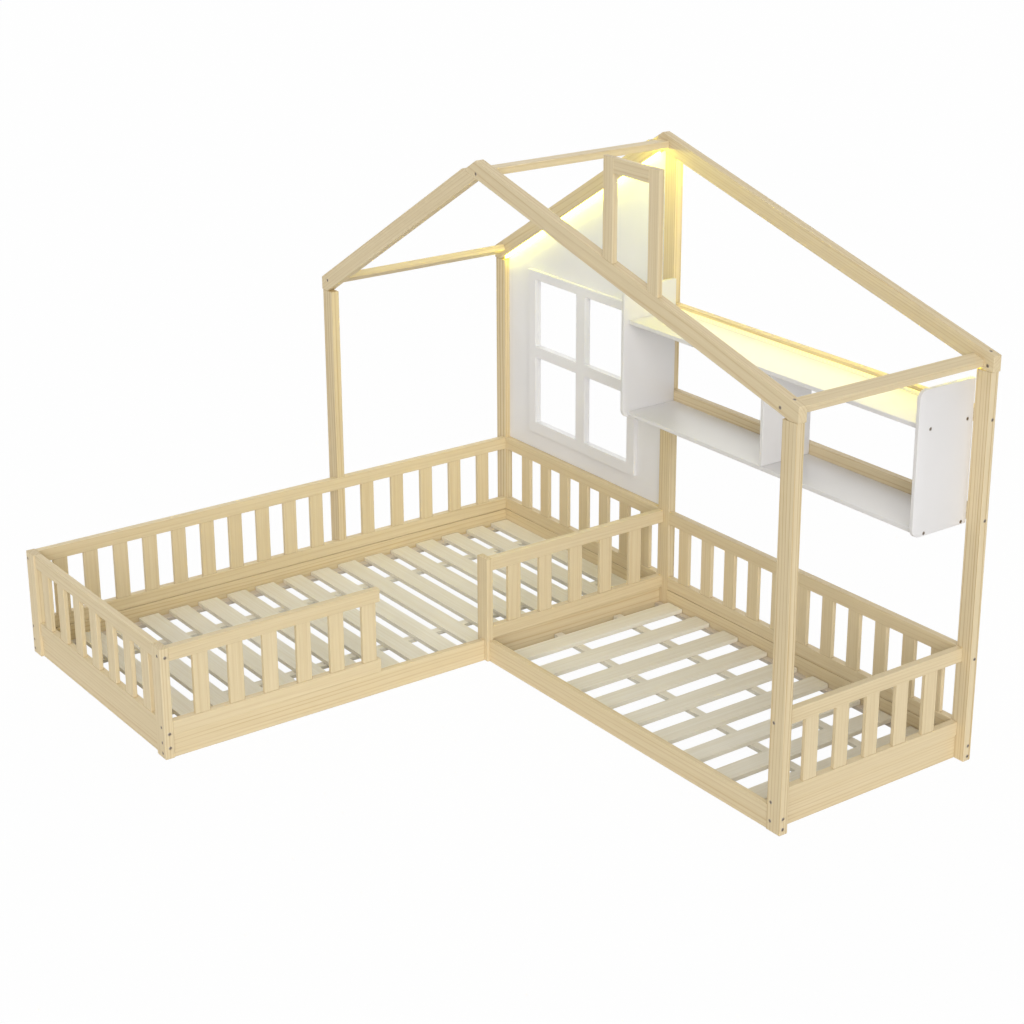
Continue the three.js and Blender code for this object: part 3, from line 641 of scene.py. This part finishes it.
FRONT, RIGHT = Vector((0, -1, 0)), Vector((1, 0, 0))       # the ways that bolt heads face
ROOF = Vector((math.sin(RIGHT_SLOPE), 0, math.cos(RIGHT_SLOPE)))
BOLTS = {       # by board: the way that each head faces, and its place in the maker's layout
    "post_front_right": [(FRONT, 2506, -827, z) for z in (362, 97, 34)]
                        + [(RIGHT, 2550, -814, z) for z in (54, 19)],
    "post_back_right": [(RIGHT, 2550, -13, z) for z in (1158, 828, 358, 52, 15)],
    "post_corner_left": [(FRONT, 10, -2090, z) for z in (363, 102, 51, 16)],
    "post_corner_right": [(FRONT, 1003, -2090, z) for z in (361, 109, 54, 17)]
                         + [(RIGHT, 1024, -2072, z) for z in (357, 88, 38)],
    "rafter_short_front": [(FRONT, 3, -827, 1170)],
    "rafter_long_front": [(FRONT, 2478, -827, 1341), (FRONT, 981, -827, 1746), (ROOF, 2520, -811, 1374.1)],
    "rafter_long_back": [(FRONT, 2531, -32, 1329), (ROOF, 2527, -16, 1372.2)],
    "shelf_side_right": [(RIGHT, 2489.7, y, z)
                         for y, z in ((-217, 1154.5), (-56.7, 1154.7), (-218, 817), (-55, 816.5))],
}


def drilled(mesh, bolts):
    """The board with a shallow counterbore for each bolt."""
    cutters = bmesh.new()
    for out, x, y, z in bolts:
        turn = Vector((0, 0, 1)).rotation_difference(out).to_matrix().to_4x4()
        centre = Matrix.Translation(spot(x, y, z) - out * (HOLE_DEPTH / 2 - CUTTER_RISE / 2) * MM)
        bmesh.ops.create_cone(cutters, cap_ends=True, segments=HEAD_SIDES, radius1=HOLE_RADIUS * MM,
                              radius2=HOLE_RADIUS * MM, depth=(HOLE_DEPTH + CUTTER_RISE) * MM,
                              matrix=centre @ turn)
    board = as_object("board_to_drill", mesh)
    tool = as_object("cutters", to_mesh(cutters, "cutters"))
    cut = board.modifiers.new("holes", "BOOLEAN")
    cut.operation, cut.solver, cut.object = "DIFFERENCE", "EXACT", tool
    result = plain_mesh(board)
    for spare in (board, tool):
        bpy.data.objects.remove(spare)
    return result


def shaped(node, edge):
    """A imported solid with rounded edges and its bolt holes."""
    mesh = dressed(node, edge)
    return drilled(mesh, BOLTS[node]) if node in BOLTS else mesh


SHORT_ROOF = (math.cos(LEFT_SLOPE), 0, math.sin(LEFT_SLOPE))       # along each slope
LONG_ROOF = (math.cos(RIGHT_SLOPE), 0, -math.sin(RIGHT_SLOPE))
SINGLE = {      # by the way that their grain runs
    UPRIGHT: ["post_back_left", "post_back_middle", "post_back_right", "post_front_left", "post_front_right",
              "post_corner_left", "post_corner_right", "post_entry", "chimney_left", "chimney_right"],
    (1, 0, 0): ["base_back_house_bed", "base_back_side_bed", "base_front", "base_front_house_bed",
                "chimney_head", "shelf_rail_lower", "shelf_rail_upper"],
    (0, 1, 0): ["base_divider", "base_end", "base_entry", "base_left", "beam_eave_left", "beam_eave_right",
                "beam_ridge"],
    SHORT_ROOF: ["rafter_short_front", "rafter_short_back"],
    LONG_ROOF: ["rafter_long_front", "rafter_long_back"],
}
for direction, nodes in SINGLE.items():
    for node in nodes:
        mesh = shaped(node, EDGE)
        figure = PLAIN_POSTS.get(node, FIGURES[node.split("_")[0]])
        # posts' ends are darkened a little: end grain, and painted shade where they meet other parts
        give_grain(mesh, direction, node, figure, end=UPRIGHT_END_AND_JOINT_SHADE if direction == UPRIGHT else 0.0)
        finished("pine_" + node, mesh, PINE, node)

for node, direction in {"ledge_house_bed_back": "x", "ledge_house_bed_front": "x", "ledge_side_bed_left": "y",
                        "ledge_side_bed_right": "y"}.items():
    mesh = dressed(node, EDGE)
    give_grain(mesh, LENGTHS[direction], node, LEDGE_FIGURE)
    finished("birch_" + node, mesh, LEDGE, node)

for node in ["shelf_bottom", "shelf_top", "shelf_divider", "shelf_side_left", "shelf_side_right",
             "window_frame", "window_wall"]:
    edge = FRAME_EDGE if node == "window_frame" else PAINTED_EDGE
    # the window wall and frame take the white that is painted lighter for the shade on them
    white = LIGHTENED_WALL_WHITE if node.startswith("window") else SHELF_WHITE
    finished("painted_" + node, shaped(node, edge), white, node)

for node, material in {"light_strip_roof": ROOF_GLOW, "light_strip_shelf": SHELF_GLOW}.items():
    packed = frame["nodes"][node].data
    packed.materials.clear()
    packed.materials.append(material)


def strip(name, start, end, across, material):
    """A slim light strip: start and end lie on the centreline of its top, and its width runs across."""
    made = bmesh.new()
    half = Vector(across) * STRIP_WIDTH / 2 * MM
    drop = Vector((0, 0, -STRIP_THICKNESS * MM))
    corners = [end_point + side + down for end_point in (start, end) for side in (-half, half)
               for down in (Vector(), drop)]
    bmesh.ops.convex_hull(made, input=[made.verts.new(corner) for corner in corners])
    finished(name, to_mesh(made, name), material)


def under_long_rafter(x):
    """A place just below the middle of the long back rafter's underside."""
    foot_x, foot_z = RAFTER_FOOT
    return spot(x, RAFTER_MIDDLE, foot_z + (foot_x - x) * math.tan(RIGHT_SLOPE) - STRIP_GAP)


def under_ridge(y):
    return spot(RIDGE_STRIP_X, y, RIDGE_UNDERSIDE - STRIP_GAP)


strip("light_strip_rafter", *map(under_long_rafter, RAFTER_STRIP), LENGTHS["y"], RAFTER_GLOW)
strip("light_strip_ridge", *map(under_ridge, RIDGE_STRIP), LENGTHS["x"], RIDGE_GLOW)

bolts = [bolt for group in BOLTS.values() for bolt in group]
head_object = as_object("head_template", bolt_head())
bolt_mesh = grown([spot(*bolt[1:]) for bolt in bolts], BOLT_ROW, BOLT_IDS, outs=[bolt[0] for bolt in bolts],
                  Head=head_object, Material=STEEL)
bpy.data.objects.remove(head_object)
finished("bolt_heads", bolt_mesh, STEEL)


def seen_directly(tree):
    """1 where the camera looks, straight, by a mirror or through glass, and 0 where light is gathered."""
    path = add(tree, "ShaderNodeLightPath").outputs
    through = maths(tree, "MAXIMUM", path["Is Glossy Ray"], path["Is Transmission Ray"])
    return maths(tree, "MAXIMUM", path["Is Camera Ray"], through)


def floor():
    """The white paper that the bed stands on, with only its shadow showing."""
    made = bmesh.new()
    bmesh.ops.create_grid(made, x_segments=1, y_segments=1, size=FLOOR_SIZE)
    plane = as_object("studio_floor", to_mesh(made, "studio_floor"))
    plane.location.z = -FLOOR_DROP
    material, tree, surface = new_material("pale_studio_floor")
    place = add(tree, "ShaderNodeTexCoord").outputs["Object"]
    paper = ramp(tree, noise(tree, place, 0.6), [(0, linear("#f4f4f4")), (1, linear("#f8f8f8"))])
    tree.links.new(paper, surface.inputs["Base Color"])
    surface.inputs["Roughness"].default_value = 0.9
    white = add(tree, "ShaderNodeEmission", {"Strength": 1.0})
    share = maths(tree, "MULTIPLY", seen_directly(tree), FLOOR_WHITE)
    both = add(tree, "ShaderNodeMixShader", {0: share, 1: surface.outputs[0], 2: white.outputs[0]})
    tree.links.new(both.outputs[0], tree.nodes["Material Output"].inputs[0])
    plane.data.materials.append(material)


def world():
    """A white room: white to look at, and a weaker even fill for the light."""
    scene = bpy.context.scene
    scene.world = bpy.data.worlds.new("studio")
    scene.world.use_nodes = True
    tree = scene.world.node_tree
    fill = add(tree, "ShaderNodeBackground", {"Color": (1, 1, 1, 1), "Strength": FILL})
    white = add(tree, "ShaderNodeBackground", {"Color": (1, 1, 1, 1), "Strength": 1.0})
    both = add(tree, "ShaderNodeMixShader", {0: seen_directly(tree), 1: fill.outputs[0], 2: white.outputs[0]})
    tree.links.new(both.outputs[0], tree.nodes["World Output"].inputs[0])


def soft_lamp(name, azimuth, elevation, level):
    """A broad distant softbox that lights a white face turned to it to the given level."""
    lamp = bpy.data.lights.new(name, "SUN")
    lamp.angle = math.radians(LAMP_ANGLE)
    lamp.energy = level * math.pi
    made = as_object(name, lamp)
    turn, rise = math.radians(azimuth), math.radians(elevation)
    towards = Vector((math.cos(rise) * math.cos(turn), math.cos(rise) * math.sin(turn), math.sin(rise)))
    made.rotation_euler = towards.to_track_quat("Z", "Y").to_euler()


def camera():
    """Stands where the photographer's camera stood."""
    yaw, pitch, roll = map(math.radians, CAMERA_TURN)
    forward = Vector((math.cos(pitch) * math.cos(yaw), math.cos(pitch) * math.sin(yaw), math.sin(pitch)))
    right = forward.cross(Vector((0, 0, 1))).normalized()
    up = right.cross(forward)
    right, up = right * math.cos(roll) + up * math.sin(roll), up * math.cos(roll) - right * math.sin(roll)
    lens = bpy.data.cameras.new("camera")
    lens.sensor_width = SENSOR
    lens.lens = FOCAL / PHOTO * SENSOR
    lens.shift_x = (PHOTO / 2 - OPTICAL_CENTRE[0]) / PHOTO
    lens.shift_y = (OPTICAL_CENTRE[1] - PHOTO / 2) / PHOTO
    lens.clip_end = FARTHEST
    made = as_object("camera", lens)
    turn = Matrix((right, up, -forward)).transposed().to_4x4()
    made.matrix_world = Matrix.Translation(spot(*CAMERA_PLACE)) @ turn
    bpy.context.scene.camera = made


floor()
world()
for name, (azimuth, elevation, level) in SOFTBOXES.items():
    soft_lamp(name, azimuth, elevation, level)
camera()
bpy.context.scene.view_settings.view_transform = "Standard"
